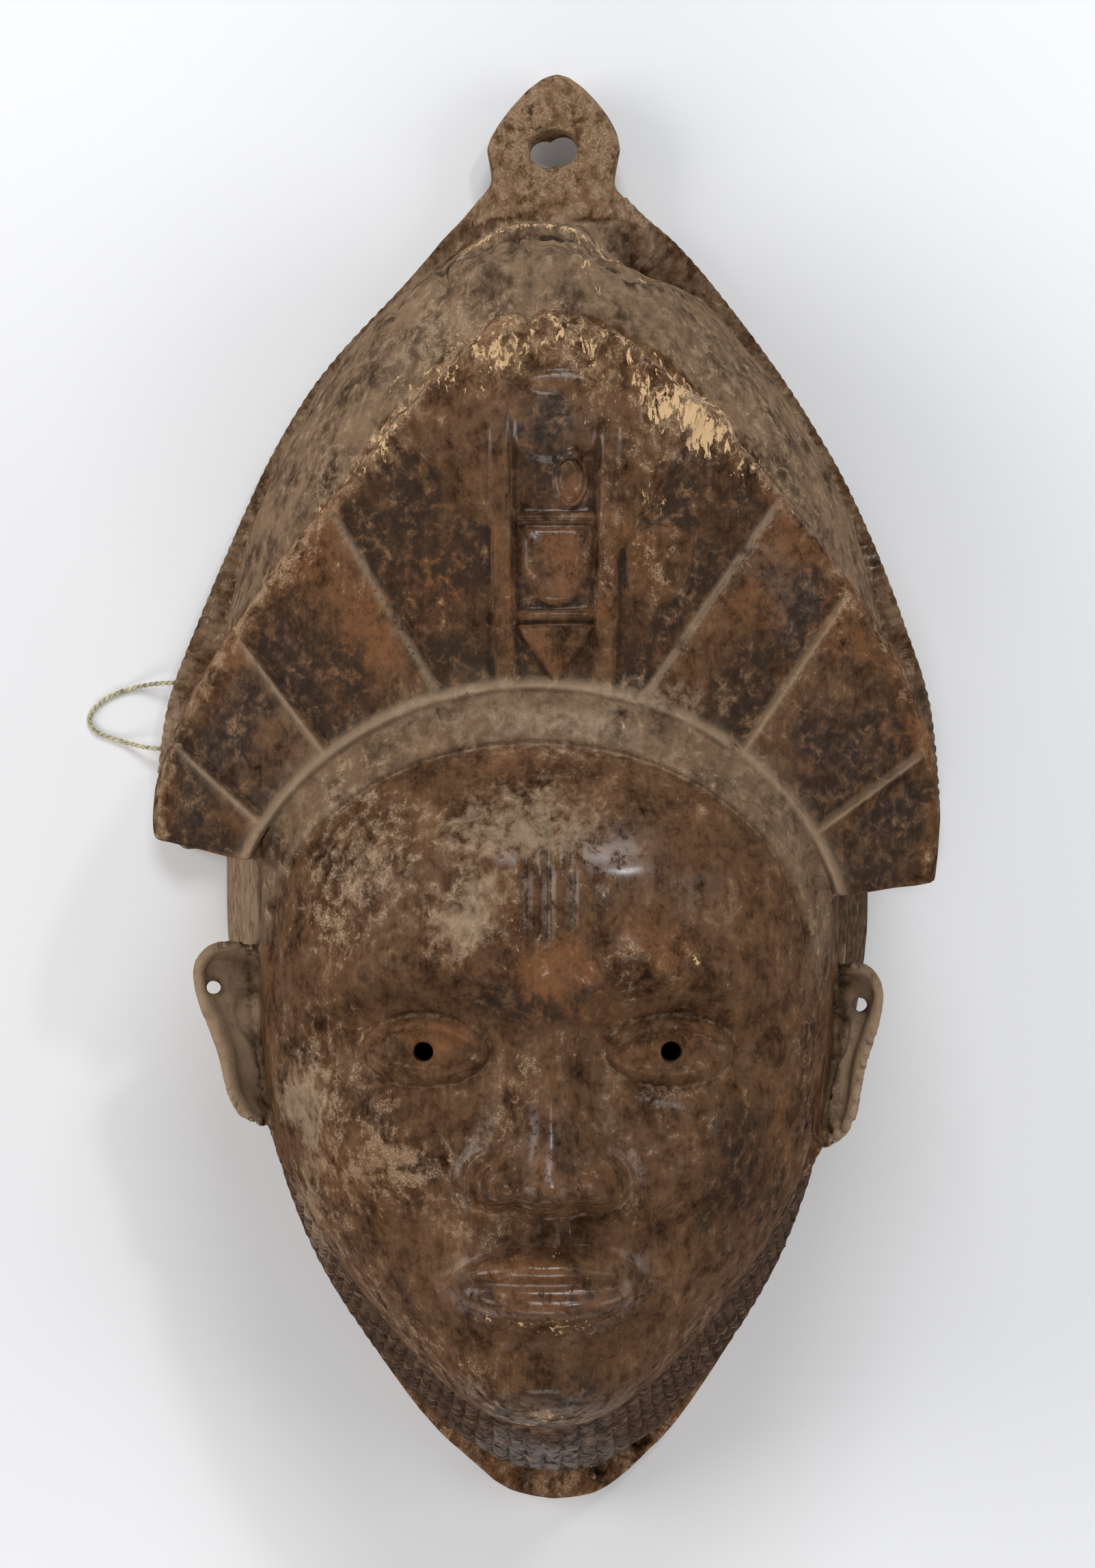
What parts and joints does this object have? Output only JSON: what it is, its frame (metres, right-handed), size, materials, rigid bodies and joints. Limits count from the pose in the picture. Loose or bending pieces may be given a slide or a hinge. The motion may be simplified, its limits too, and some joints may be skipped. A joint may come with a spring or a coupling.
{
  "type": "carved wooden face mask",
  "caption": "Carved wooden face mask with a fan-shaped crest, grooved rim flange, ribbed collar and pierced hanging lug, hollow behind, with a small loop of twine",
  "frame": {"origin": "middle of the mask's outline, on the flat back plane of its rim, on which it lies", "axes": "+X to the viewer's right across the face, +Y from the chin to the hanging lug, +Z out of the face"},
  "size_m": [0.2324, 0.3862, 0.146],
  "materials": {
    "wood": "dark waxed hardwood with a rubbed, dusty patina and pale bare wood on worn edges",
    "twine": "thin twisted plant-fibre twine, undyed"
  },
  "bodies": {
    "root": {"mask": "wood", "twine_loop": "twine", "twine_knot": "twine"}
  },
  "joints": []
}
